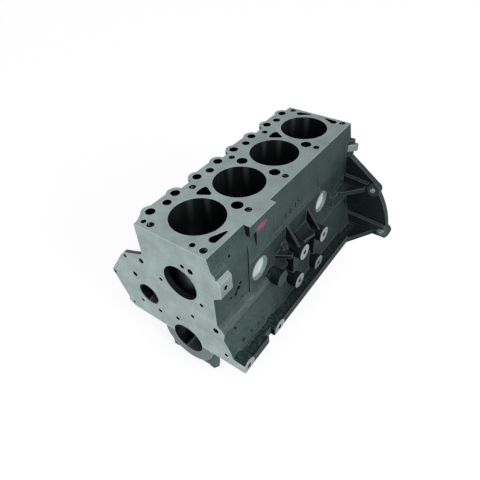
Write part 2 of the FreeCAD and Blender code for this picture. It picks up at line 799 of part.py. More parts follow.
def cap_bolt(name, across, row):
    """A hexagon-headed bolt, head down, its shank up into the web."""
    body = turned(name, [
        (0, 0), (d.cap_bolt_radius, 0), (d.cap_bolt_radius, d.cap_height + d.cap_bolt_grip),
        (0, d.cap_height + d.cap_bolt_grip),
    ])
    sketch = body.newObject("Sketcher::SketchObject", name + "_flats")
    sketch.AttachmentSupport = ([item for item in body.Origin.OriginFeatures
                                 if item.Role == "XY_Plane"][0], [""])
    sketch.MapMode = "FlatFace"
    corner = d.cap_bolt_flats / (2 * math.cos(math.radians(30)))
    corners = []
    for step in range(6):
        angle = math.radians(60 * step)
        corners.append((corner * math.cos(angle), corner * math.sin(angle)))
    trace(sketch, corners)
    head = body.newObject("PartDesign::Pad", name + "_head")
    head.Profile = sketch
    head.Reversed = True
    bind(head, "Length", d.cap_bolt_head)
    body.Tip = head
    place(body, across, row, -d.cap_height)
    return body


def cam_bush(name, span, recess):
    """A plain bush pressed into a web."""
    start, end = span
    wide = d.cam_radius
    thin = d.cam_radius - d.bush_wall
    body = turned(name, [(thin, 0), (wide, 0), (wide, end - start - recess), (thin, end - start - recess)])
    place(body, -d.cam_across, start + recess, d.cam_level, turn=TURN["y"])
    return body


def cup_plug(name, radius, x, y, z, turn):
    """A pressed sheet cup, open outwards, seated below the wall."""
    thick = d.plug_sheet
    body = turned(name, [
        (0, 0), (radius, 0), (radius, d.plug_depth), (radius - thick, d.plug_depth),
        (radius - thick, thick), (0, thick),
    ])
    place(body, x, y, z, turn=turn)
    return body


def small_parts():
    made = {}
    names = ["main_cap_front"] + ["main_cap_%d" % (index + 2) for index in range(count - 1)]
    names.append("main_cap_rear")
    for index, (name, row) in enumerate(zip(names, cap_rows())):
        made[name] = bearing_cap(name, row, d.cap_nose if index == 0 else None)
    for index, row in enumerate(cap_rows()):
        for side, sign in (("left", -1), ("right", 1)):
            name = "main_cap_bolt_%d_%s" % (index + 1, side)
            made[name] = cap_bolt(name, sign * d.cap_bolt_across, row)
    for index, (start, end) in enumerate(webs):
        name = "cam_bush_%d" % (index + 1)
        if index == count:
            end = end - d.plug_depth - 1
        made[name] = cam_bush(name, (start, end), 2 if index == 0 else 0)
    for name, along in zip(("core_plug_front", "core_plug_rear"), plug_places()):
        made[name] = cup_plug(name, d.plug_radius, d.wall_rear - d.plug_recess - 2, along,
                              d.plug_level, TURN["x"])
    made["cam_plug_rear"] = cup_plug("cam_plug_rear", d.cam_radius, -d.cam_across,
                                     d.block_length - d.plug_depth, d.cam_level, TURN["y"])
    plug = turned("gallery_plug_rear", [
        (0, 0), (d.gallery_plug_radius, 0), (d.gallery_plug_radius, 10), (4, 10), (4, 4), (0, 4),
    ])
    place(plug, d.gallery_across, d.block_length - 11, d.gallery_level, turn=TURN["y"])
    made["gallery_plug_rear"] = plug
    return made


parts = {"cylinder_block": cylinder_block()}
parts.update(small_parts())
doc.recompute()

for thing in doc.Objects:
    if "Invalid" in thing.State or "Error" in thing.State:
        raise RuntimeError("%s did not build: %s" % (thing.Name, thing.State))
for name, thing in parts.items():
    thing.Label = name
    shape = thing.Shape
    if shape.isNull() or not shape.isValid():
        raise RuntimeError("%s has no valid shape" % name)
    print(name, "solids", len(shape.Solids), "faces", len(shape.Faces), "volume", round(shape.Volume))
for name, thing in parts.items():
    thing.Shape.exportStep(os.path.join("parts", name + ".step"))
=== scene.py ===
import math
from functools import reduce

import bmesh
import bpy
from mathutils import Matrix, Vector
from mathutils.bvhtree import BVHTree


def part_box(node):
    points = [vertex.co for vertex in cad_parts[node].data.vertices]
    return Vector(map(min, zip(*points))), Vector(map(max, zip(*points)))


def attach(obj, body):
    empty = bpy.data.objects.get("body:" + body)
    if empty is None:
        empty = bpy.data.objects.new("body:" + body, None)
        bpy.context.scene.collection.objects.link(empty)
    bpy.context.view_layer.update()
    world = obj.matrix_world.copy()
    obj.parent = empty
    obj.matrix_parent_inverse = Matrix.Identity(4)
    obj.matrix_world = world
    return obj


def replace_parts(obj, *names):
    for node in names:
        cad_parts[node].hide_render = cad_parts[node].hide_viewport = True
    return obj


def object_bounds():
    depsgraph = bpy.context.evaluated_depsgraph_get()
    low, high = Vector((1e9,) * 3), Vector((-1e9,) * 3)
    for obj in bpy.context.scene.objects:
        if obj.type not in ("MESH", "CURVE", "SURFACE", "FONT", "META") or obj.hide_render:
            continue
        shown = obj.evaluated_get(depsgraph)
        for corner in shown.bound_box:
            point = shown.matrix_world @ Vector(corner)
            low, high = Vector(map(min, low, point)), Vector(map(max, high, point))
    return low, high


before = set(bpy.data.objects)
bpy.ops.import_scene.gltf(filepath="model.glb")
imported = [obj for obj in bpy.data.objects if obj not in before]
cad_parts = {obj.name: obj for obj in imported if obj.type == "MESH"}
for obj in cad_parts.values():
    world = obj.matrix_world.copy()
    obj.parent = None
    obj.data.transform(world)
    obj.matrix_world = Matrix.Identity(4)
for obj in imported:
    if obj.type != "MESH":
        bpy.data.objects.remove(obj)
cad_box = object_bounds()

bl_info = {
    "name": "Engine block finish",
    "version": (1, 0, 0),
    "blender": (4, 5, 0),
    "location": "View3D > Sidebar > Engine block",
    "description": "Dresses the bare block: cast walls, machined faces, bores, threads and stage",
    "category": "Object",
}

# Places and sizes are in metres: X to the right seen from the front, Y rearward, Z up,
# with the origin on the crankshaft axis at the front face.
BLOCK_HIGH = Vector(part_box("cylinder_block")[1])
DECK = BLOCK_HIGH.z
REAR = BLOCK_HIGH.y
# How near a facet lies to the face or wall that it belongs to
SNUG = 0.0002
# Facets that meet at less than this look like one round surface
SOFT_ANGLE = math.radians(24)
# A facet that another wall faces within this distance lies in a hole, which gets a near-black
# painted shade
NEAR_WALL = 0.024

PITCH = 0.1116
FIRST_BORE = 0.0686
BORE_RADIUS = 0.04685
CYLINDERS = 4
JOURNAL_RADIUS = 0.0336
CAM_AXIS = (-0.083, 0.0713)
PUMP_AXIS = (0.0082, 0.1565)
PUMP_RADIUS = 0.0348
# Outer radius of the crankcase wall, and how far out lies the knee above it, which gets a painted
# highlight
CRANKCASE = 0.107
KNEE_HIGHLIGHT = 0.0862
# The upper wall beside the cylinders
WALL_FACE = 0.0773

# Bosses of the right wall, each as its place along and up
MOUNT_BOSSES = ((0.213, 0.111), (0.201, 0.045), (0.291, 0.097), (0.280, 0.028))
RAIL_BOSSES = ((0.111, 0.008), (0.012, 0.011))
# Bosses whose round sides get a painted shade; the first takes no bolt
SHADED_BOSSES = ((0.1534, 0.0865), MOUNT_BOSSES[1], MOUNT_BOSSES[3])
BOSS_RADIUS = 0.0155
BOSS_HOLE = 0.005
MOUNT_FACE = 0.118
RAIL_FACE = 0.1296

# Ears of the rear flange, the upper one first, each as its place across and up
EAR_CIRCLE = 0.1875
EARS = [(EAR_CIRCLE * math.cos(math.radians(angle)), EAR_CIRCLE * math.sin(math.radians(angle)))
        for angle in (37.9, 5.2)]
EAR_FACE = 0.452
EAR_HOLE = 0.0055

# Head bolts, each as its place across and along; the front left one stands further in
HEAD_BOLTS = [(sign * 0.0577, 0.0128 + PITCH * row) for row in range(5) for sign in (1, -1)]
HEAD_BOLTS[1] = (-0.0478, 0.0128)
# Threads, each as its radius, depth and pitch
HEAD_THREAD = (0.0065, 0.022, 0.0018)
MOUNT_THREAD = (0.005, 0.012, 0.0015)
RAIL_THREAD = (0.005, 0.010, 0.0015)

# The front cap's turned nose, and the rounding of the cap bolts' heads
NOSE_RADIUS = 0.0550
NOSE_DEPTH = 0.0044
HEAD_ROUND = 0.0052

# Soft streaks that light leaves in the far half of a bore: angle, half width and strength
STREAKS = ((math.radians(111), 0.16, 1.0), (math.radians(147), 0.16, 0.7),
           (math.radians(182), 0.55, 0.2))
# The paint daub: its middle along and up, and its half width and half height
DAUB_PLACE = (0.1225, 0.2250)
DAUB_HALVES = (0.0150, 0.0068)


class CastSettings(bpy.types.PropertyGroup):
    side_colour: bpy.props.FloatVectorProperty(
        name="Side walls", description="Colour of the cast walls", subtype="COLOR",
        size=3, min=0, max=1, default=(0.046, 0.082, 0.078))
    # Painted light: cast faces that look up are paler than the side walls
    upward_lit_colour: bpy.props.FloatVectorProperty(
        name="Ledges", description="Colour of cast faces that look up", subtype="COLOR",
        size=3, min=0, max=1, default=(0.078, 0.108, 0.105))
    # Painted shade: faces that look up outside the crankcase, on the rail and bosses, are darker
    outer_ledge_shade_colour: bpy.props.FloatVectorProperty(
        name="Outer ledges", description="Colour of the oily ledges of rail and bosses",
        subtype="COLOR", size=3, min=0, max=1, default=(0.015, 0.032, 0.031))
    paint_colour: bpy.props.FloatVectorProperty(
        name="Paint daub", description="Colour of the daub of paint below the deck",
        subtype="COLOR", size=3, min=0, max=1, default=(0.48, 0.07, 0.22))
    # Painted shade: cast faces that look forward along the block are near black
    forward_shade_colour: bpy.props.FloatVectorProperty(
        name="Forward faces", description="Colour of cast faces that look along the block",
        subtype="COLOR", size=3, min=0, max=1, default=(0.013, 0.027, 0.027))
    grain: bpy.props.FloatProperty(
        name="Sand grain", description="Size of the grain left by the mould", subtype="DISTANCE",
        unit="LENGTH", min=0.0002, max=0.01, default=0.0022)
    edge_round: bpy.props.FloatProperty(
        name="Edge rounding", description="Radius that cast edges appear to have",
        subtype="DISTANCE", unit="LENGTH", min=0.0, max=0.01, default=0.0022)


class MachinedSettings(bpy.types.PropertyGroup):
    face_colour: bpy.props.FloatVectorProperty(
        name="Machined faces", description="Colour of milled iron", subtype="COLOR",
        size=3, min=0, max=1, default=(0.36, 0.455, 0.445))
    ring_colour: bpy.props.FloatVectorProperty(
        name="Ring faces", description="Colour of the spot-faced bosses", subtype="COLOR",
        size=3, min=0, max=1, default=(0.215, 0.275, 0.265))
    bore_colour: bpy.props.FloatVectorProperty(
        name="Bores", description="Colour of the oiled, honed bores", subtype="COLOR",
        size=3, min=0, max=1, default=(0.010, 0.013, 0.013))
    roughness: bpy.props.FloatProperty(
        name="Roughness", description="Roughness of the milled faces", subtype="FACTOR",
        min=0, max=1, default=0.42)


class StageSettings(bpy.types.PropertyGroup):
    camera_place: bpy.props.FloatVectorProperty(
        name="Camera", description="Where the camera stands", subtype="TRANSLATION", unit="LENGTH",
        size=3, default=(0.36957, -0.30071, 0.65862))
    camera_turn: bpy.props.FloatVectorProperty(
        name="Azimuth, elevation, roll", description="Direction the camera looks from",
        subtype="EULER", unit="ROTATION", size=3,
        default=(math.radians(37.998), math.radians(42.22), math.radians(-3.403)))
    lens: bpy.props.FloatProperty(
        name="Lens", description="Focal length on a 36 mm frame", unit="CAMERA", min=1,
        default=31.865)
    ambient: bpy.props.FloatProperty(
        name="Room light", description="Strength of the even light", min=0, default=0.6)
    key: bpy.props.FloatProperty(
        name="Key light", description="Power of the large lamp at the right", subtype="POWER",
        unit="POWER", min=0, default=14)


# Materials

def new_group(name, inputs, outputs):
    """An empty shader group from input defaults and output names, with its two end nodes."""
    group = bpy.data.node_groups.new(name, "ShaderNodeTree")
    for label, default in inputs.items():
        socket = group.interface.new_socket(
            name=label, in_out="INPUT", socket_type="NodeSocketFloat")
        socket.default_value = default
    for label in outputs:
        kind = "NodeSocketVector" if label == "Normal" else "NodeSocketFloat"
        group.interface.new_socket(name=label, in_out="OUTPUT", socket_type=kind)
    return group, group.nodes.new("NodeGroupInput"), group.nodes.new("NodeGroupOutput")


def give(tree, socket, value):
    """Set an input from a number, a colour or another node's socket; None leaves it alone."""
    if isinstance(value, bpy.types.NodeSocket):
        tree.links.new(value, socket)
    elif value is not None:
        socket.default_value = value


def feed(tree, node, **values):
    """Set a node's inputs by name."""
    for label, value in values.items():
        give(tree, node.inputs[label], value)


def math_node(tree, operation, first, second=None, clamp=False):
    """A Math node whose inputs are numbers or sockets."""
    node = tree.nodes.new("ShaderNodeMath")
    node.operation = operation
    node.use_clamp = clamp
    give(tree, node.inputs[0], first)
    give(tree, node.inputs[1], second)
    return node.outputs[0]


def gathered(tree, operation, values):
    """Values joined one after another by one Math operation."""
    return reduce(lambda total, value: math_node(tree, operation, total, value), values)


def product(tree, *values):
    return gathered(tree, "MULTIPLY", values)


def minus(tree, first, second):
    return math_node(tree, "SUBTRACT", first, second)


def away(tree, value, middle):
    """How far a value lies from a middle."""
    return math_node(tree, "ABSOLUTE", minus(tree, value, middle))


def from_axis(tree, first, second, axis):
    """Distance of a pair of coordinates from an axis."""
    pair = tree.nodes.new("ShaderNodeCombineXYZ")
    for socket, value, middle in zip(pair.inputs, (first, second), axis):
        tree.links.new(minus(tree, value, middle), socket)
    reach = tree.nodes.new("ShaderNodeVectorMath")
    reach.operation = "LENGTH"
    tree.links.new(pair.outputs[0], reach.inputs[0])
    return reach.outputs["Value"]


def mix_colour(tree, factor, first, second):
    """A colour mix whose inputs are colours or sockets."""
    node = tree.nodes.new("ShaderNodeMix")
    node.data_type = "RGBA"
    tree.links.new(factor, node.inputs[0])
    for socket, value in ((node.inputs[6], first), (node.inputs[7], second)):
        if isinstance(value, bpy.types.NodeSocket):
            tree.links.new(value, socket)
        else:
            socket.default_value = (*value[:3], 1)
    return node.outputs[2]


def noise(tree, vector, scale, detail=4.0, roughness=0.55):
    """Fractal noise at a place; its scale is a number or a socket."""
    node = tree.nodes.new("ShaderNodeTexNoise")
    feed(tree, node, Vector=vector, Scale=scale, Detail=detail, Roughness=roughness)
    return node.outputs["Fac"]


def stretch(tree, value, low, high, to_low=0.0, to_high=1.0):
    """Spread a value from one range onto another, held at its ends."""
    node = tree.nodes.new("ShaderNodeMapRange")
    node.clamp = True
    tree.links.new(value, node.inputs["Value"])
    for label, number in (("From Min", low), ("From Max", high),
                          ("To Min", to_low), ("To Max", to_high)):
        node.inputs[label].default_value = number
    return node.outputs[0]


def window(tree, value, rise, full, fade, end):
    """A mask that rises from the first number to the second and fades from the third on."""
    return product(tree, stretch(tree, value, rise, full), stretch(tree, value, end, fade))


def object_place(tree, scale=None):
    """Object coordinates, drawn out along an axis where its scale is small."""
    place = tree.nodes.new("ShaderNodeTexCoord").outputs["Object"]
    if scale is None:
        return place
    node = tree.nodes.new("ShaderNodeMapping")
    node.inputs["Scale"].default_value = scale
    tree.links.new(place, node.inputs["Vector"])
    return node.outputs[0]


def split(tree, kind="Object"):
    """The object coordinates, or the parts of the normal, by letter."""
    node = tree.nodes.new("ShaderNodeSeparateXYZ")
    tree.links.new(tree.nodes.new("ShaderNodeTexCoord").outputs[kind], node.inputs[0])
    return node.outputs


def scaled(tree, colour, factor):
    """A colour or colour socket times a value."""
    node = tree.nodes.new("ShaderNodeVectorMath")
    node.operation = "SCALE"
    give(tree, node.inputs[0], colour)
    give(tree, node.inputs["Scale"], factor)
    return node.outputs[0]


def sand_group():
    """Sand-cast skin: a height for the bump, and a slow mottle and specks for the colour."""
    tree, ends_in, ends_out = new_group(
        "sand_skin", {"Grain": 0.0022}, ("Height", "Mottle", "Specks"))
    place = object_place(tree)
    grain = ends_in.outputs["Grain"]
    fine = noise(tree, place, math_node(tree, "DIVIDE", 1.0, grain), 3.0, 0.6)
    coarse = noise(tree, place, math_node(tree, "DIVIDE", 0.22, grain), 2.0)
    slow = noise(tree, place, 30.0, 5.0, 0.62)
    quick = noise(tree, place, 190.0, 3.0, 0.6)
    mottle = math_node(tree, "ADD", product(tree, slow, 0.6), product(tree, quick, 0.4))
    specks = noise(tree, place, 520.0, 2.0, 0.7)
    feed(tree, ends_out, Height=math_node(tree, "ADD", product(tree, fine, 0.55), coarse),
         Mottle=stretch(tree, mottle, 0.34, 0.66), Specks=stretch(tree, specks, 0.62, 0.74))
    return tree


def edge_group():
    """Where an edge is near: a mask for painted highlights, and the normal of a rounded edge."""
    tree, ends_in, ends_out = new_group("edge_highlight_and_round", {"Radius": 0.0015}, ("Mask", "Normal"))
    bevel = tree.nodes.new("ShaderNodeBevel")
    bevel.samples = 6
    tree.links.new(ends_in.outputs["Radius"], bevel.inputs["Radius"])
    flat = tree.nodes.new("ShaderNodeNewGeometry")
    dot = tree.nodes.new("ShaderNodeVectorMath")
    dot.operation = "DOT_PRODUCT"
    tree.links.new(bevel.outputs["Normal"], dot.inputs[0])
    tree.links.new(flat.outputs["Normal"], dot.inputs[1])
    feed(tree, ends_out, Mask=stretch(tree, dot.outputs["Value"], 0.999, 0.86),
         Normal=bevel.outputs["Normal"])
    return tree


def facing_group():
    """How much a face looks up, or forward along the block."""
    tree, _, ends_out = new_group("facing", {}, ("Up", "Along"))
    normal = split(tree, "Normal")
    feed(tree, ends_out, Up=stretch(tree, normal["Z"], 0.35, 0.85),
         Along=stretch(tree, product(tree, normal["Y"], -1.0), 0.3, 0.85))
    return tree


def tone_group():
    """How bright the cast skin is at a place, as painted light and shade: paler in front, darker
    low down behind.
    """
    tree, _, ends_out = new_group("skin_light_and_tone", {}, ("Shade", "Outer", "Blotch", "Gloss"))
    spot = split(tree)
    along, up = spot["Y"], spot["Z"]
    back = product(tree, stretch(tree, along, 0.0, 0.46, 1.2, 0.63),
                   stretch(tree, up, 0.105, 0.125, 1.0, 0.78))
    behind = minus(tree, stretch(tree, along, 0.09, 0.17, 0.16, 0.58),
                   stretch(tree, along, 0.28, 0.38, 0.0, 0.19))
    low = product(tree, stretch(tree, up, 0.170, 0.158), behind)
    # Painted shade on the outer part of the rail, low down
    rim = product(tree, stretch(tree, math_node(tree, "ABSOLUTE", spot["X"]), 0.118, 0.126),
                  stretch(tree, up, 0.026, 0.018, 0.0, 0.6))
    # The hollow between the mount bosses gets little light
    hollow = product(tree, window(tree, along, 0.165, 0.185, 0.290, 0.315),
                     stretch(tree, up, 0.118, 0.104), stretch(tree, up, 0.030, 0.045, 0.0, 0.5),
                     stretch(tree, spot["X"], 0.100, 0.092))
    shade = product(tree, back, minus(tree, 1.0, low), minus(tree, 1.0, rim),
                    minus(tree, 1.0, hollow), boss_side_shade(tree, spot))
    # Outside the crankcase lie the ledges that get a darker painted shade; the rail's top is
    # blotched
    outer = product(tree, stretch(tree, spot["X"], 0.093, 0.101),
                    stretch(tree, along, 0.447, 0.440))
    rail = product(tree, outer, stretch(tree, up, 0.034, 0.026))
    patches = stretch(tree, noise(tree, object_place(tree), 120.0, 4.0, 0.68), 0.50, 0.64)
    blotch = math_node(tree, "ADD", product(tree, rail, patches),
                       product(tree, stretch(tree, along, 0.12, 0.16), rail, 0.22))
    feed(tree, ends_out, Shade=shade, Outer=outer, Gloss=knee_highlight(tree, spot),
         Blotch=math_node(tree, "MINIMUM", blotch, 1.0))
    return tree


def boss_side_shade(tree, spot):
    """A painted shade that darkens the round sides of the shaded bosses, and leaves their ends."""
    near = gathered(tree, "MAXIMUM", [
        stretch(tree, from_axis(tree, spot["Y"], spot["Z"], boss), 0.0175, 0.0160)
        for boss in SHADED_BOSSES])
    sides = product(tree, near, stretch(tree, split(tree, "Normal")["X"], 0.9, 0.6))
    return stretch(tree, sides, 0.0, 1.0, 1.0, 0.5)


def knee_highlight(tree, spot):
    """Painted highlight: broken pale streaks along the rounded knee of the front half."""
    near = stretch(tree, away(tree, spot["X"], KNEE_HIGHLIGHT), 0.0045, 0.0012)
    low = window(tree, spot["Z"], 0.070, 0.074, 0.096, 0.100)
    drawn = noise(tree, object_place(tree, (1.0, 0.12, 1.0)), 260.0, 3.0, 0.6)
    front = product(tree, stretch(tree, spot["Y"], 0.165, 0.140), stretch(tree, drawn, 0.42, 0.62))
    return product(tree, near, low, front)


def daub_group():
    """A ragged daub of paint on the step below the deck."""
    tree, _, ends_out = new_group("paint_daub", {}, ("Mask",))
    place, spot = object_place(tree), split(tree)
    along, up = (product(tree, minus(tree, spot[axis], middle), 1 / half)
                 for axis, middle, half in zip("YZ", DAUB_PLACE, DAUB_HALVES))
    reach = math_node(tree, "ADD", product(tree, along, along), product(tree, up, up))
    ragged = math_node(tree, "ADD", reach, product(tree, noise(tree, place, 210.0), 1.3))
    brush = stretch(tree, noise(tree, place, 330.0, 3.0), 0.36, 0.56, 0.25, 1.0)
    feed(tree, ends_out, Mask=product(tree, stretch(tree, ragged, 1.7, 1.1),
                                      stretch(tree, spot["X"], 0.0825, 0.0835), brush))
    return tree


def streak_group():
    """Painted reflections: soft light streaks down the far side of each bore, fading with depth.
    """
    tree, _, ends_out = new_group("bore_streaks", {}, ("Mask",))
    spot = split(tree)
    shifted = minus(tree, spot["Y"], FIRST_BORE - PITCH / 2)
    local = minus(tree, math_node(tree, "FLOORED_MODULO", shifted, PITCH), PITCH / 2)
    angle = math_node(tree, "ARCTAN2", local, spot["X"])
    angle = math_node(tree, "FLOORED_MODULO", angle, math.tau)
    light = gathered(tree, "ADD", [
        stretch(tree, away(tree, angle, middle), width, 0.0, 0.0, strength)
        for middle, width, strength in STREAKS])
    fade = stretch(tree, spot["Z"], DECK - 0.055, DECK - 0.004)
    feed(tree, ends_out, Mask=product(tree, light, fade))
    return tree


def journal_group():
    """Light inside a bore along the block: a narrow streak with a soft glow to its right."""
    tree, ends_in, ends_out = new_group("journal_light", {"Across": 0.0, "Up": 0.0}, ("Mask",))
    spot = split(tree)
    angle = math_node(tree, "ARCTAN2", minus(tree, spot["Z"], ends_in.outputs["Up"]),
                      minus(tree, spot["X"], ends_in.outputs["Across"]))
    streak = stretch(tree, away(tree, angle, math.radians(-105)),
                     math.radians(5), math.radians(1.5))
    glow = product(tree, stretch(tree, angle, math.radians(-110), math.radians(-104)),
                   stretch(tree, angle, math.radians(-102), math.radians(-20), 0.55, 0.12))
    fade = stretch(tree, spot["Y"], 0.0, 0.034, 1.0, 0.4)
    feed(tree, ends_out, Mask=product(tree, math_node(tree, "MAXIMUM", streak, glow), fade))
    return tree


def ear_group():
    """Where the faces of the flange's four ears lie, fainter on the upper two."""
    tree, _, ends_out = new_group("ear_faces", {}, ("Mask",))
    spot = split(tree)
    across = math_node(tree, "ABSOLUTE", spot["X"])
    discs = gathered(tree, "ADD", [
        stretch(tree, from_axis(tree, across, spot["Z"], ear), 0.0148, 0.0100, 0.0, strength)
        for ear, strength in zip(EARS, (0.3, 1.0))])
    front = stretch(tree, away(tree, spot["Y"], EAR_FACE), 0.004, 0.003)
    feed(tree, ends_out, Mask=product(tree, discs, front))
    return tree


GROUP_MAKERS = {
    "sand_skin": sand_group, "edge_highlight_and_round": edge_group, "facing": facing_group,
    "skin_light_and_tone": tone_group, "paint_daub": daub_group, "bore_streaks": streak_group,
    "journal_light": journal_group, "ear_faces": ear_group,
}


def use_group(tree, name, **values):
    """Place a shared group, built on its first use, and set its inputs."""
    node = tree.nodes.new("ShaderNodeGroup")
    node.node_tree = bpy.data.node_groups.get(name) or GROUP_MAKERS[name]()
    feed(tree, node, **values)
    return node.outputs


def new_material(name, metallic=0.0, roughness=0.5, specular=0.5):
    """A material with its tree and its shader."""
    material = bpy.data.materials.new(name)
    material.use_nodes = True
    shader = material.node_tree.nodes["Principled BSDF"]
    feed(material.node_tree, shader, Metallic=metallic, Roughness=roughness)
    shader.inputs["Specular IOR Level"].default_value = specular
    return material, material.node_tree, shader


def bump(tree, shader, height, strength, distance, normal=None):
    """Raise the shader's surface by a height, over a rounded normal where one is given."""
    node = tree.nodes.new("ShaderNodeBump")
    feed(tree, node, Strength=strength, Distance=distance, Height=height, Normal=normal)
    tree.links.new(node.outputs[0], shader.inputs["Normal"])


def cast_iron_material():
    """Sand-cast iron under a thin dark coat, with painted light and shade by facing and place:
    paler on the side walls, with painted highlights at its edges.
    """
    look = bpy.context.scene.cast_settings
    material, tree, shader = new_material("cast_iron", roughness=0.62, specular=0.18)
    sand = use_group(tree, "sand_skin", Grain=look.grain)
    edge = use_group(tree, "edge_highlight_and_round", Radius=look.edge_round)
    face = use_group(tree, "facing")
    tone = use_group(tree, "skin_light_and_tone")
    # Painted light and shade by facing: faces that look up are paler inside the crankcase and
    # darker outside it; forward faces are darker, most towards the front
    upward_light_and_shade = mix_colour(tree, tone["Outer"], look.upward_lit_colour, look.outer_ledge_shade_colour)
    forward = scaled(tree, look.forward_shade_colour,
                     stretch(tree, split(tree)["Y"], 0.32, 0.42, 0.45, 1.0))
    colour = mix_colour(tree, face["Up"], look.side_colour, upward_light_and_shade)
    colour = mix_colour(tree, face["Along"], colour, forward)
    colour = mix_colour(tree, product(tree, tone["Blotch"], 0.7), colour, (0.075, 0.105, 0.10))
    mottled = stretch(tree, sand["Mottle"], 0.0, 1.0, 0.58, 1.42)
    # Painted light and shade by place, times the random mottle
    colour = scaled(tree, colour, product(tree, mottled, tone["Shade"]))
    # Painted highlights along the edges and the knee
    painted_highlight = math_node(tree, "MAXIMUM", product(tree, edge["Mask"], 0.9),
                     product(tree, tone["Gloss"], 0.7))
    highlight_colour = scaled(tree, (0.165, 0.22, 0.215), stretch(tree, tone["Shade"], 0.2, 1.0, 0.75, 1.0))
    colour = mix_colour(tree, painted_highlight, colour, highlight_colour)
    for mask, strength, over in (
        (use_group(tree, "ear_faces")["Mask"], 0.9, (0.17, 0.215, 0.21)),
        (sand["Specks"], 0.3, (0.16, 0.2, 0.195)),
        (use_group(tree, "paint_daub")["Mask"], 0.85, look.paint_colour),
    ):
        colour = mix_colour(tree, product(tree, mask, strength), colour, over)
    tree.links.new(colour, shader.inputs["Base Color"])
    feed(tree, shader, Roughness=stretch(tree, sand["Mottle"], 0.0, 1.0, 0.52, 0.72))
    bump(tree, shader, sand["Height"], 0.55, 0.0012, edge["Normal"])
    return material


def machined_material(name, colour, roughness, cloud=0.10, fade=None, metallic=0.75):
    """Milled iron: bright, with faint cloudy patches, fine marks and painted highlights along its
    edges; fade is a painted shade that dims it rearward.
    """
    material, tree, shader = new_material(name, metallic, roughness)
    place = object_place(tree)
    edge = use_group(tree, "edge_highlight_and_round", Radius=0.0017)
    clouds = stretch(tree, noise(tree, place, 26.0, 5.0, 0.62), 0.3, 0.7, 1.0 - cloud, 1.0 + cloud)
    fine = stretch(tree, noise(tree, place, 330.0, 3.0, 0.6), 0.3, 0.7, 0.91, 1.09)
    shade = product(tree, clouds, fine)
    # Painted shade: darker rearward and to the right
    if fade is not None:
        spot = split(tree)
        reach = math_node(tree, "ADD", spot["Y"], product(tree, spot["X"], 0.8))
        shade = product(tree, shade, stretch(tree, reach, 0.0, 0.5, *fade))
    # Painted highlights along the edges
    lit = mix_colour(tree, product(tree, edge["Mask"], 0.85), scaled(tree, colour, shade),
                     (0.70, 0.79, 0.78))
    tree.links.new(lit, shader.inputs["Base Color"])
    feed(tree, shader, Roughness=stretch(
        tree, clouds, 1.0 - cloud, 1.0 + cloud, roughness + 0.08, roughness - 0.06))
    bump(tree, shader, noise(tree, place, 900.0, 2.0), 0.08, 0.0002, edge["Normal"])
    return material


def bore_material(name, colour, roughness=0.34, axis=None):
    """Honed iron with a film of oil, its fine streaks running along an upright bore, and painted
    reflections of light mixed into its colour.

    With an axis (x, z) it is a bore that runs along the block."""
    material, tree, shader = new_material(name, 0.6, roughness)
    drawn = (1.0, 1.0, 0.03) if axis is None else (1.0, 0.03, 1.0)
    streaks = noise(tree, object_place(tree, drawn), 150.0, 4.0, 0.6)
    tone = scaled(tree, colour, stretch(tree, streaks, 0.35, 0.65, 0.5, 1.6))
    if axis is None:
        light = use_group(tree, "bore_streaks")
        lit = (0.10, 0.135, 0.13)
    else:
        light = use_group(tree, "journal_light", Across=axis[0], Up=axis[1])
        lit = (0.26, 0.35, 0.34)
    tree.links.new(mix_colour(tree, light["Mask"], tone, lit), shader.inputs["Base Color"])
    bump(tree, shader, streaks, 0.15, 0.0003)
    return material


def plain_metal(name, colour, metallic, roughness, grain=260.0, spread=0.12, painted_glint=None):
    """A small part's metal, slightly uneven in tone; the last argument, where given, is the colour
    of painted glints, sparse bright specks.
    """
    material, tree, shader = new_material(name, metallic, roughness)
    place = object_place(tree)
    patches = noise(tree, place, grain, 4.0, 0.6)
    tone = scaled(tree, colour, stretch(tree, patches, 0.3, 0.7, 1.0 - spread, 1.0 + spread))
    if painted_glint is not None:
        bright = stretch(tree, noise(tree, place, 240.0, 2.0), 0.56, 0.66)
        tone = mix_colour(tree, bright, tone, painted_glint)
    tree.links.new(tone, shader.inputs["Base Color"])
    feed(tree, shader, Roughness=stretch(
        tree, patches, 0.3, 0.7, roughness - 0.05, roughness + 0.08))
    bump(tree, shader, patches, 0.12, 0.0003)
    return material


def barrel_material():
    """The front barrel seen through the pump opening: black as painted shade, with one soft
    painted patch of light.
    """
    material, tree, shader = new_material("barrel_shade_and_light", 0.5, 0.55)
    spot = split(tree)
    patch = product(tree, window(tree, spot["X"], 0.002, 0.020, 0.024, 0.040),
                    window(tree, spot["Z"], 0.128, 0.146, 0.166, 0.186))
    colour = mix_colour(tree, patch, (0.004, 0.005, 0.005), (0.13, 0.175, 0.17))
    tree.links.new(colour, shader.inputs["Base Color"])
    return material


# Shapes

def finished(shape, name, *materials):
    """A mesh with its materials from a bmesh, which is used up."""
    mesh = bpy.data.meshes.new(name)
    shape.to_mesh(mesh)
    shape.free()
    for material in materials:
        mesh.materials.append(material)
    return mesh


def show(name, mesh):
    """Put a finished mesh in the scene, riding on the block."""
    piece = bpy.data.objects.new(name, mesh)
    bpy.context.scene.collection.objects.link(piece)
    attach(piece, "root")
    return piece


def smooth(shape):
    for face in shape.faces:
        face.smooth = True


def wedge(outline, low, high):
    """A closed prism along Y over an outline of (x, z) corners."""
    shape = bmesh.new()
    base = shape.faces.new([shape.verts.new((x, low, z)) for x, z in outline])
    made = bmesh.ops.extrude_face_region(shape, geom=[base])
    far = [item for item in made["geom"] if isinstance(item, bmesh.types.BMVert)]
    bmesh.ops.translate(shape, vec=(0, high - low, 0), verts=far)
    bmesh.ops.recalc_face_normals(shape, faces=shape.faces)
    return shape


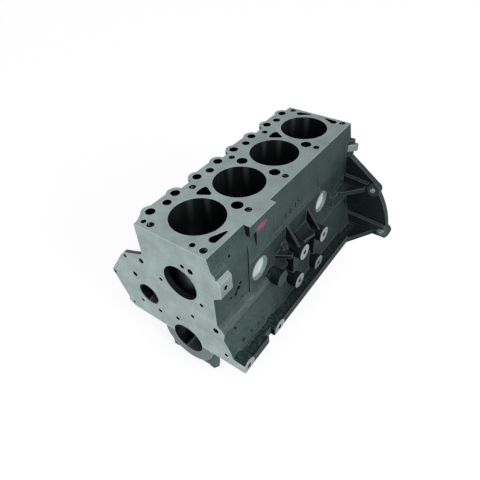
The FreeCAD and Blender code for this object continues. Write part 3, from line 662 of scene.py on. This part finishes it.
def carved(shape, cutters):
    """The shape less its cutters; all are used up."""
    made = []
    for index, part in enumerate([shape, *cutters]):
        name = "carving_%d" % index
        made.append(bpy.data.objects.new(name, finished(part, name)))
        bpy.context.scene.collection.objects.link(made[-1])
    for cutter in made[1:]:
        step = made[0].modifiers.new(cutter.name, "BOOLEAN")
        step.operation = "DIFFERENCE"
        step.solver = "EXACT"
        step.object = cutter
    bpy.context.view_layer.update()
    seen = made[0].evaluated_get(bpy.context.evaluated_depsgraph_get())
    result = bmesh.new()
    result.from_mesh(seen.to_mesh())
    for piece in made:
        mesh = piece.data
        bpy.data.objects.remove(piece)
        bpy.data.meshes.remove(mesh)
    return result


def merged_copy(node, cutters=()):
    """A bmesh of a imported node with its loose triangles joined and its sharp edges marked."""
    shape = bmesh.new()
    shape.from_mesh(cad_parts[node].data)
    bmesh.ops.remove_doubles(shape, verts=shape.verts, dist=0.00001)
    if cutters:
        shape = carved(shape, [wedge(*cutter) for cutter in cutters])
    bmesh.ops.dissolve_degenerate(shape, dist=0.000001, edges=shape.edges)
    for edge in shape.edges:
        edge.smooth = len(edge.link_faces) == 2 and edge.calc_face_angle(0) < SOFT_ANGLE
    smooth(shape)
    return shape


def off_axis(point, axis, first, second):
    """Distance of a point from a line along an axis."""
    a, b = {"x": (point.y, point.z), "y": (point.x, point.z), "z": (point.x, point.y)}[axis]
    return math.hypot(a - first, b - second)


# The lifter wall starts behind the thin top of the front flange: each cut is an outline of
# (x, z) corners, then Y from and to
WING_CUTS = (
    (((-0.07205, 0.2065), (-0.07205, 0.1796), (-0.0760, 0.1752), (-0.0945, 0.1681),
      (-0.0945, 0.2065)), -0.002, 0.0165),
    (((-0.07205, 0.2065), (-0.07205, 0.1715), (-0.0785, 0.1662), (-0.1180, 0.1508),
      (-0.1400, 0.1290), (-0.1500, 0.1400), (-0.1400, 0.1600), (-0.1225, 0.1700),
      (-0.1225, 0.2065)), 0.0076, 0.0165),
)


def on_machined_face(centre, normal):
    """Whether a facet lies in the front, rear or lower face of the block."""
    return (normal.y < -0.99 and centre.y < SNUG or normal.y > 0.99 and centre.y > REAR - SNUG
            or normal.z < -0.99 and centre.z < SNUG)


def on_boss(centre, bosses, radius):
    """Whether a facet lies within a radius of the axis of a boss."""
    return any(off_axis(centre, "x", *boss) < radius + SNUG for boss in bosses)


def block_finish(centre, normal, tree):
    """Which finish a facet of the block has."""
    if normal.z > 0.99 and centre.z > DECK - SNUG:
        return "deck"
    if on_machined_face(centre, normal):
        return "milled"
    if normal.x > 0.99:
        if abs(centre.x - MOUNT_FACE) < SNUG and on_boss(centre, MOUNT_BOSSES, BOSS_RADIUS):
            return "ring"
        if centre.x > RAIL_FACE - SNUG and on_boss(centre, RAIL_BOSSES, BOSS_RADIUS):
            return "ring"
    # The faced lugs at the front and rear corners
    if normal.x > 0.4 and centre.x > 0.0855 and centre.y < 0.0295 and 0.170 < centre.z < 0.208:
        return "pad"
    if normal.x > 0.3 and centre.x > 0.0795 and centre.y > 0.450 and 0.1885 < centre.z < 0.2045:
        return "pad"
    along_block = abs(normal.y) < 0.1
    if along_block and centre.y < 0.02 and off_axis(centre, "y", *PUMP_AXIS) < PUMP_RADIUS + SNUG:
        return "pump"
    # The front barrel's outside, as far as it shows through the pump opening
    if normal.y < -0.1 and centre.x > -0.04 and centre.y < FIRST_BORE and 0.115 < centre.z < 0.23:
        if BORE_RADIUS + 0.003 < off_axis(centre, "z", 0.0, FIRST_BORE) < BORE_RADIUS + 0.008:
            return "barrel"
    for across, up in EARS:
        reach = off_axis(centre, "y", math.copysign(across, centre.x), up)
        if centre.y > 0.44 and reach < EAR_HOLE + SNUG:
            return "milled"
    if centre.x > 0.09 and on_boss(centre, MOUNT_BOSSES + RAIL_BOSSES, BOSS_HOLE):
        return "hole"
    if abs(normal.z) < 0.1 and centre.z > 0.08:
        for index in range(CYLINDERS):
            reach = off_axis(centre, "z", 0.0, FIRST_BORE + PITCH * index)
            if reach < BORE_RADIUS + SNUG:
                return "bore"
    if along_block and off_axis(centre, "y", 0.0, 0.0) < JOURNAL_RADIUS + SNUG:
        return "journal"
    # Walls of the deck's openings, the jacket, and other facets that face a near wall get the
    # hole's near-black painted shade
    if (abs(normal.z) < 0.5 and centre.z > 0.19 and abs(centre.x) < 0.062
            and 0.001 < centre.y < REAR - 0.001):
        return "hole"
    if centre.x > 0.082 and centre.y > 0.14 and centre.z < 0.17:
        return "cast"
    if abs(centre.x) < 0.069 and 0.004 < centre.y < 0.46 and 0.075 < centre.z < 0.237:
        return "hole"
    hit = tree.ray_cast(centre + normal * 0.00005, normal, NEAR_WALL)
    if hit[0] is not None and hit[1].dot(normal) < -0.4:
        return "hole"
    return "cast"


class ENGINE_OT_casting(bpy.types.Operator):
    """Dress the block: cast skin, milled faces, honed bores, holes in painted shade"""
    bl_idname = "engine.casting"
    bl_label = "Block casting"

    def execute(self, context):
        look = context.scene.machined_settings
        finishes = {
            "cast": cast_iron_material(),
            "milled": machined_material("milled_face", look.face_colour, look.roughness, 0.16),
            "ring": machined_material("spot_face", look.ring_colour, 0.4, metallic=0.3),
            "bore": bore_material("honed_bore", look.bore_colour, 0.38),
            "journal": bore_material("journal_bore", look.bore_colour, axis=(0.0, 0.0)),
            # Walls of holes and hollows: a near-black painted shade
            "hole": plain_metal("painted_hole_shade", (0.003, 0.004, 0.004), 1.0, 0.8),
            # The deck's painted shade darkens it rearward and to the right
            "deck": machined_material("deck_face", look.face_colour, look.roughness, 0.12,
                                      (0.80, 0.54)),
            "pad": machined_material("front_pad", [0.6 * part for part in look.face_colour],
                                     0.55, 0.22),
            "pump": plain_metal("pump_bore", (0.022, 0.032, 0.031), 0.5, 0.4),
            "barrel": barrel_material(),
        }
        order = list(finishes)
        shape = merged_copy("cylinder_block", WING_CUTS)
        tree = BVHTree.FromBMesh(shape)
        for face in shape.faces:
            finish = block_finish(face.calc_center_median(), face.normal, tree)
            face.material_index = order.index(finish)
        mesh = finished(shape, "block_casting", *finishes.values())
        piece = show("block_casting", mesh)
        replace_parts(piece, "cylinder_block")
        return {"FINISHED"}


class ENGINE_OT_caps(bpy.types.Operator):
    """Dress the main bearing caps; the front one has a turned nose"""
    bl_idname = "engine.caps"
    bl_label = "Bearing caps"

    def execute(self, context):
        look = context.scene.machined_settings
        body, nose, bearing = range(3)
        materials = (
            plain_metal("cap_body", (0.076, 0.122, 0.117), 0.0, 0.6, 90.0, 0.2),
            machined_material("turned_nose", [0.5 * part for part in look.face_colour], 0.5),
            bore_material("cap_journal", look.bore_colour, axis=(0.0, 0.0)),
        )
        for name in sorted(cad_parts):
            if not name.startswith("main_cap") or "bolt" in name:
                continue
            shape = merged_copy(name)
            for face in shape.faces:
                centre = face.calc_center_median()
                reach = off_axis(centre, "y", 0, 0)
                in_front = centre.y < SNUG and face.normal.y < -0.9
                if reach < JOURNAL_RADIUS + SNUG and abs(face.normal.y) < 0.1:
                    face.material_index = bearing
                elif in_front or centre.y < NOSE_DEPTH and reach > NOSE_RADIUS:
                    face.material_index = nose
                else:
                    face.material_index = body
            piece = show(name + "_dress", finished(shape, name + "_dress", *materials))
            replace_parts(piece, name)
        return {"FINISHED"}


class ENGINE_OT_small_parts(bpy.types.Operator):
    """Finish the bolts, bushes and plugs"""
    bl_idname = "engine.small_parts"
    bl_label = "Bolts, bushes and plugs"

    def execute(self, context):
        finishes = {
            "cam_bush": bore_material("bearing_bush", (0.012, 0.015, 0.0145), axis=CAM_AXIS),
            "cam_plug": plain_metal("plain_plug", (0.5, 0.55, 0.54), 1.0, 0.35),
            "gallery_plug": plain_metal("gallery_steel", (0.4, 0.44, 0.43), 1.0, 0.35),
        }
        for name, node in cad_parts.items():
            for start, material in finishes.items():
                if name.startswith(start):
                    node.data.materials.clear()
                    node.data.materials.append(material)
        phosphated = plain_metal("phosphated_bolt", (0.05, 0.06, 0.06), 0.4, 0.5)
        for name in sorted(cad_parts):
            if name.startswith("main_cap_bolt"):
                mesh = finished(self.rounded_bolt(name), name + "_dress", phosphated)
                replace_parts(show(name + "_dress", mesh), name)
        plate = plain_metal("plated_plug", (0.84, 0.92, 0.91), 0.4, 0.3, 60.0, 0.2)
        # The cup's wall and rim get a darker painted shade
        rim = plain_metal("plug_wall_shade", (0.26, 0.32, 0.31), 0.8, 0.5)
        for name in ("core_plug_front", "core_plug_rear"):
            mesh = finished(self.rimmed_plug(name), name + "_dress", plate, rim)
            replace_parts(show(name + "_dress", mesh), name)
        return {"FINISHED"}

    def rounded_bolt(self, name):
        """A cap bolt whose hexagon head ends in a rounded dome."""
        shape = merged_copy(name)
        foot = min(vert.co.z for vert in shape.verts) + SNUG
        under = [face for face in shape.faces
                 if face.normal.z < -0.99 and face.calc_center_median().z < foot]
        bmesh.ops.dissolve_faces(shape, faces=under)
        rim = [edge for edge in shape.edges if all(vert.co.z < foot for vert in edge.verts)]
        bmesh.ops.bevel(shape, geom=rim, offset=HEAD_ROUND, offset_type="OFFSET", affect="EDGES",
                        segments=4, profile=0.5, material=-1, clamp_overlap=True)
        smooth(shape)
        return shape

    def rimmed_plug(self, name):
        """A core plug with its plate in the first material, its wall and rim in the second, a
        darker painted shade.
        """
        shape = merged_copy(name)
        mouth = max(vert.co.x for vert in shape.verts) - 2 * SNUG
        for face in shape.faces:
            face.material_index = int(abs(face.normal.x) < 0.5
                                      or face.calc_center_median().x > mouth)
        return shape


class ENGINE_OT_threads(bpy.types.Operator):
    """Cut the look of threads into the tapped holes that show, near black as painted shade, with
    painted glints
    """
    bl_idname = "engine.threads"
    bl_label = "Threads"

    def execute(self, context):
        shape = bmesh.new()
        for across, along in HEAD_BOLTS:
            self.helix(shape, Vector((across, along, DECK)), "z", *HEAD_THREAD)
        for bosses, face, thread in ((MOUNT_BOSSES, MOUNT_FACE, MOUNT_THREAD),
                                     (RAIL_BOSSES, RAIL_FACE, RAIL_THREAD)):
            for along, up in bosses:
                self.helix(shape, Vector((face, along, up)), "x", *thread)
        # The threads are near black, a painted shade of the hole, with sparse painted glints
        bright = plain_metal("thread_shade_and_glints", (0.007, 0.010, 0.010), 1.0, 0.45,
                             painted_glint=(0.22, 0.22, 0.22))
        show("tapped_threads", finished(shape, "tapped_threads", bright))
        return {"FINISHED"}

    def helix(self, shape, mouth, axis, radius, depth, pitch):
        """One thread: a ridge swept round and down the hole."""
        lead, ridge, steps = 0.0012, 0.0009, 20
        deep = {"x": Vector((-1, 0, 0)), "z": Vector((0, 0, -1))}[axis]
        side = {"x": Vector((0, 1, 0)), "z": Vector((1, 0, 0))}[axis]
        start = mouth + deep * lead
        profile = [start + side * radius, start + side * (radius - ridge) + deep * pitch * 0.45,
                   start + side * radius + deep * pitch * 0.9]
        corners = [shape.verts.new(point) for point in profile]
        edges = [shape.edges.new(pair) for pair in zip(corners, corners[1:])]
        turns = int(depth / pitch)
        bmesh.ops.spin(shape, geom=corners + edges, cent=mouth, axis=-deep,
                       dvec=deep * pitch / steps, angle=math.tau * turns, steps=steps * turns,
                       use_duplicate=False)


# Beads and fillets of the casting: radius, then the points that each follows
BEADS = (
    (0.0014, ((0.0805, 0.4530, 0.1365), (0.0805, 0.4380, 0.1320), (0.0805, 0.4128, 0.1274),
              (0.0805, 0.3915, 0.1260), (0.0805, 0.3817, 0.1191), (0.0808, 0.3800, 0.1060))),
    (0.0012, ((0.0772, 0.4360, 0.2090), (0.0772, 0.4402, 0.1983), (0.0772, 0.4478, 0.1778),
              (0.0775, 0.4540, 0.1640), (0.0805, 0.4540, 0.1365))),
    (0.0009, ((0.0769, 0.3301, 0.2090), (0.0769, 0.3310, 0.1874), (0.0772, 0.3300, 0.1730))),
    (0.0022, ((0.0895, 0.4545, 0.0800), (0.0895, 0.4545, 0.0640), (0.0990, 0.4545, 0.0420),
              (0.1060, 0.4545, 0.0190))),
    (0.0018, ((0.0890, 0.4545, 0.1120), (0.0895, 0.4545, 0.0800))),
    (0.0010, ((0.0808, 0.2687, 0.1150), (0.0812, 0.2840, 0.1205))),
    (0.0010, ((0.0808, 0.1870, 0.1225), (0.0812, 0.2040, 0.1350))),
    (0.0008, ((0.1030, 0.1300, 0.0285), (0.1033, 0.1460, 0.0280))),
    (0.0011, ((0.0773, 0.0040, 0.0940), (0.0773, 0.0700, 0.0936), (0.0773, 0.1500, 0.0940))),
    (0.0011, ((0.1058, 0.0260, 0.0184), (0.1080, 0.0420, 0.0182), (0.1062, 0.0560, 0.0184),
              (0.1090, 0.0740, 0.0182))),
    (0.0011, ((0.1062, 0.1330, 0.0184), (0.1085, 0.1520, 0.0182), (0.1060, 0.1900, 0.0184),
              (0.1075, 0.2300, 0.0182))),
)
# Plain raised marks of the mould on the upper wall: Y, Z, half width and half height
MARKS = ((0.2110, 0.1835, 0.0012, 0.0050), (0.2165, 0.1795, 0.0040, 0.0012),
         (0.2255, 0.1850, 0.0013, 0.0060), (0.2320, 0.1905, 0.0040, 0.0012),
         (0.2440, 0.1860, 0.0012, 0.0055), (0.2560, 0.1900, 0.0030, 0.0013))
# Lumps of burnt-on sand, then the painted shade of the pit hollows, on the front wall: Y, Z and
# radius
LUMPS = ((0.0692, 0.1251, 0.0024), (0.0623, 0.1166, 0.0022), (0.0560, 0.1330, 0.0020),
         (0.0640, 0.1420, 0.0014), (0.0480, 0.1180, 0.0014))
PIT_SHADES = ((0.0619, 0.1300, 0.0038), (0.0542, 0.1215, 0.0030), (0.0681, 0.1375, 0.0026),
        (0.0407, 0.1252, 0.0022), (0.0560, 0.1275, 0.0020), (0.0698, 0.1014, 0.0020))
# Round marks on the crankcase wall, each a low ring around a painted shade: Y, Z and radius; those
# above PAD_SMALL have a knob
PADS = ((0.0328, 0.0612, 0.0020), (0.0352, 0.0701, 0.0012), (0.0807, 0.0315, 0.0024),
        (0.0604, 0.0332, 0.0022), (0.0362, 0.0345, 0.0036))
PAD_SMALL = 0.0022


class ENGINE_OT_marks(bpy.types.Operator):
    """Beads, lumps and plain marks that the mould left on the skin, with painted shade in each pit
    and round mark, and painted shadows below the raised marks
    """
    bl_idname = "engine.marks"
    bl_label = "Mould marks"

    def execute(self, context):
        marks = bmesh.new()
        for radius, points in BEADS:
            self.bead(marks, [Vector(point) for point in points], radius)
        for along, up, half, rise in MARKS:
            self.bar(marks, (WALL_FACE, along, up), (0.0010, half, rise))
        for along, up, radius in LUMPS:
            self.lump(marks, (0.0770, along, up), radius)
        for along, up, radius in PADS:
            self.pad(marks, along, up, radius * 1.25, 0.0005)
            if radius > PAD_SMALL:
                self.pad(marks, along, up, radius * 0.5, 0.0011)
        # Painted shade: dark centres in the round marks and the pit hollows, and painted shadows
        # of the raised marks
        shade_marks = bmesh.new()
        for along, up, radius in PADS:
            self.pad(shade_marks, along, up, radius, 0.0008)
        for along, up, radius in PIT_SHADES:
            self.lump(shade_marks, (0.0768, along, up), 1.2 * radius)
        # Each raised mark gets a painted shadow: a dark, sunk copy that lies a little forward and
        # below
        for along, up, half, rise in MARKS:
            self.bar(shade_marks, (0.0771, along - 0.0012, up - 0.0010), (0.0007, half, rise))
        for name, shape, skin in (("mould_marks", marks, "cast_iron"),
                                  ("painted_shade_marks", shade_marks, "painted_hole_shade")):
            bmesh.ops.recalc_face_normals(shape, faces=shape.faces)
            smooth(shape)
            show(name, finished(shape, name, bpy.data.materials[skin]))
        return {"FINISHED"}

    def bead(self, shape, points, radius):
        """A round bead through points, half sunk in the wall."""
        rings = []
        last = len(points) - 1
        for index, point in enumerate(points):
            ahead = points[min(index + 1, last)] - points[max(index - 1, 0)]
            side = ahead.cross(Vector((1, 0, 0))).normalized()
            out = side.cross(ahead).normalized()
            turn = Matrix((side, out, ahead.normalized())).transposed().to_4x4()
            made = bmesh.ops.create_circle(
                shape, cap_ends=index in (0, last), segments=8, radius=radius,
                matrix=Matrix.Translation(point) @ turn)
            rings.append(edges_of(made["verts"]))
        for near, far in zip(rings, rings[1:]):
            bmesh.ops.bridge_loops(shape, edges=near + far)

    def bar(self, shape, centre, halves):
        """A block with bevelled edges."""
        made = bmesh.ops.create_cube(
            shape, size=2.0, matrix=Matrix.Translation(centre) @ Matrix.Diagonal((*halves, 1)))
        bmesh.ops.bevel(shape, geom=edges_of(made["verts"]), offset=0.0004, offset_type="OFFSET",
                        affect="EDGES", segments=2, profile=0.5, material=-1)

    def lump(self, shape, centre, radius):
        """A flattened ball."""
        bmesh.ops.create_icosphere(
            shape, subdivisions=2, radius=radius,
            matrix=Matrix.Translation(centre) @ Matrix.Diagonal((0.45, 1.0, 0.85, 1)))

    def pad(self, shape, along, up, radius, proud):
        """A short round pad that stands on the crankcase wall."""
        turn = math.asin(up / CRANKCASE)
        place = (Matrix.Translation((0, along, 0)) @ Matrix.Rotation(-turn, 4, "Y")
                 @ Matrix.Translation((CRANKCASE, 0, 0))
                 @ Matrix.Rotation(math.radians(90), 4, "Y"))
        bmesh.ops.create_cone(shape, cap_ends=True, segments=20, radius1=radius * 1.15,
                              radius2=radius, depth=2 * proud, matrix=place)


def edges_of(verts):
    """The edges at some vertices, each once and in a steady order."""
    return list(dict.fromkeys(edge for vert in verts for edge in vert.link_edges))


class ENGINE_OT_stage(bpy.types.Operator):
    """Floor, room light, lamp and the camera"""
    bl_idname = "engine.stage"
    bl_label = "Stage"

    def execute(self, context):
        scene = context.scene
        look = scene.stage_settings
        scene.view_settings.view_transform = "Standard"
        self.floor(scene)
        self.room(scene, look.ambient)
        self.lamp(scene, look.key)
        self.camera(scene, look)
        return {"FINISHED"}

    def floor(self, scene):
        """A plain floor that looks white and keeps the block's shadow."""
        tone, glow, gap, size = 0.28, 0.82, 0.0003, 30
        material, tree, shader = new_material("pale_floor", roughness=1.0, specular=0.0)
        shader.inputs["Base Color"].default_value = (tone, tone, tone, 1)
        shader.inputs["Emission Color"].default_value = (1, 1, 1, 1)
        tree.links.new(product(tree, seen_by_eye(tree), glow), shader.inputs["Emission Strength"])
        shape = bmesh.new()
        bmesh.ops.create_grid(shape, x_segments=1, y_segments=1, size=size,
                              matrix=Matrix.Translation((0, 0, cad_box[0][2] - gap)))
        floor = bpy.data.objects.new("floor", finished(shape, "floor", material))
        scene.collection.objects.link(floor)

    def room(self, scene, ambient):
        """Even light on the object; white to the eye and in reflections."""
        world = bpy.data.worlds.new("room")
        world.use_nodes = True
        scene.world = world
        tree = world.node_tree
        sky = tree.nodes["Background"]
        sky.inputs["Color"].default_value = (1, 1, 1, 1)
        shown = product(tree, seen_by_eye(tree), 1.0 - ambient)
        feed(tree, sky, Strength=math_node(tree, "ADD", shown, ambient))

    def lamp(self, scene, power):
        """One large round lamp at the right, turned to the block's middle."""
        width, place, target = 1.1, Vector((1.5, -0.1, 0.75)), Vector((0.0, 0.23, 0.1))
        light = bpy.data.lights.new("key", "AREA")
        light.shape = "DISK"
        light.size = width
        light.energy = power
        lamp = bpy.data.objects.new("key", light)
        scene.collection.objects.link(lamp)
        lamp.location = place
        lamp.rotation_euler = (place - target).to_track_quat("Z", "Y").to_euler()

    def camera(self, scene, look):
        """The photograph's view."""
        azimuth, elevation, roll = look.camera_turn
        back = Vector((math.sin(azimuth) * math.cos(elevation),
                       -math.cos(azimuth) * math.cos(elevation), math.sin(elevation)))
        right = (-back).cross(Vector((0, 0, 1))).normalized()
        up = right.cross(-back)
        across = math.cos(roll) * right + math.sin(roll) * up
        above = math.cos(roll) * up - math.sin(roll) * right
        data = bpy.data.cameras.new("photo_view")
        data.sensor_width = 36
        data.lens = look.lens
        data.clip_start = 0.01
        camera = bpy.data.objects.new("photo_view", data)
        scene.collection.objects.link(camera)
        turn = Matrix((across, above, back)).transposed().to_4x4()
        camera.matrix_world = Matrix.Translation(look.camera_place) @ turn
        scene.camera = camera


def seen_by_eye(tree):
    """1 for rays from the camera, and for those seen in metal or glass."""
    ray = tree.nodes.new("ShaderNodeLightPath").outputs
    shiny = math_node(tree, "ADD", ray["Is Glossy Ray"], ray["Is Transmission Ray"])
    return math_node(tree, "ADD", ray["Is Camera Ray"], shiny, clamp=True)


class ENGINE_PT_panel(bpy.types.Panel):
    """Lists the pieces and their settings"""
    bl_idname = "ENGINE_PT_panel"
    bl_label = "Engine block"
    bl_space_type = "VIEW_3D"
    bl_region_type = "UI"
    bl_category = "Engine block"

    def draw(self, context):
        column = self.layout.column()
        for operator in OPERATORS:
            column.operator(operator.bl_idname)
        for settings in (context.scene.cast_settings, context.scene.machined_settings,
                         context.scene.stage_settings):
            for word in settings.__annotations__:
                column.prop(settings, word)


SETTINGS = {"cast_settings": CastSettings, "machined_settings": MachinedSettings,
            "stage_settings": StageSettings}
OPERATORS = (ENGINE_OT_stage, ENGINE_OT_casting, ENGINE_OT_caps, ENGINE_OT_small_parts,
             ENGINE_OT_threads, ENGINE_OT_marks)
CLASSES = (*SETTINGS.values(), *OPERATORS, ENGINE_PT_panel)


def register():
    for kind in CLASSES:
        bpy.utils.register_class(kind)
    for word, kind in SETTINGS.items():
        setattr(bpy.types.Scene, word, bpy.props.PointerProperty(type=kind))


def unregister():
    for word in SETTINGS:
        delattr(bpy.types.Scene, word)
    for kind in reversed(CLASSES):
        bpy.utils.unregister_class(kind)


def main():
    register()
    bpy.ops.engine.stage()
    bpy.ops.engine.casting()
    bpy.ops.engine.caps()
    bpy.ops.engine.small_parts()
    bpy.ops.engine.threads()
    bpy.ops.engine.marks()
    bpy.context.view_layer.update()


if __name__ == "__main__":
    main()
